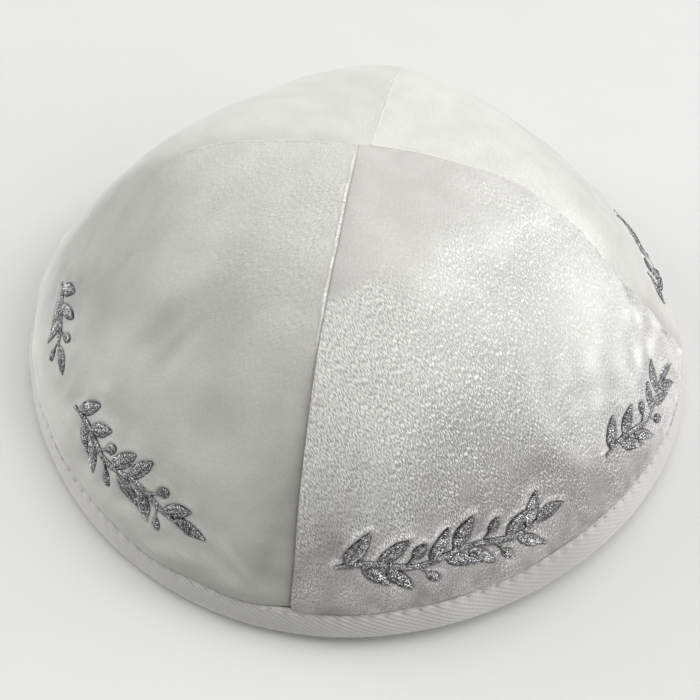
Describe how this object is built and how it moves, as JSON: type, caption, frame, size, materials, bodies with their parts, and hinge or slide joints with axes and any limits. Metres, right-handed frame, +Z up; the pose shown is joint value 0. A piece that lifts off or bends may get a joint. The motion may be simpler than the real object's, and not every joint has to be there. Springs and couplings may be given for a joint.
{
  "type": "kippah skullcap",
  "caption": "Soft velvet skullcap sewn from triangular panels, with a twill tape binding folded round its rim.",
  "frame": {"origin": "middle of the rim's bounding box, on the surface the cap rests on", "axes": "+Z up through the crown, -Y the front shown in the picture, +X the wearer's left when the front is worn forward"},
  "size_m": [0.1738, 0.1779, 0.0568],
  "materials": {
    "velvet": "short silver-white velvet pile with a soft sheen and silver thread embroidery above the rim",
    "twill_tape": "matt pale grey twill tape with fine slanted ribs and a row of lock stitches"
  },
  "bodies": {
    "root": {"panel_front_left": "velvet", "panel_front_right": "velvet", "panel_back_left": "velvet", "panel_back_right": "velvet", "rim_binding": "twill_tape"}
  },
  "joints": []
}
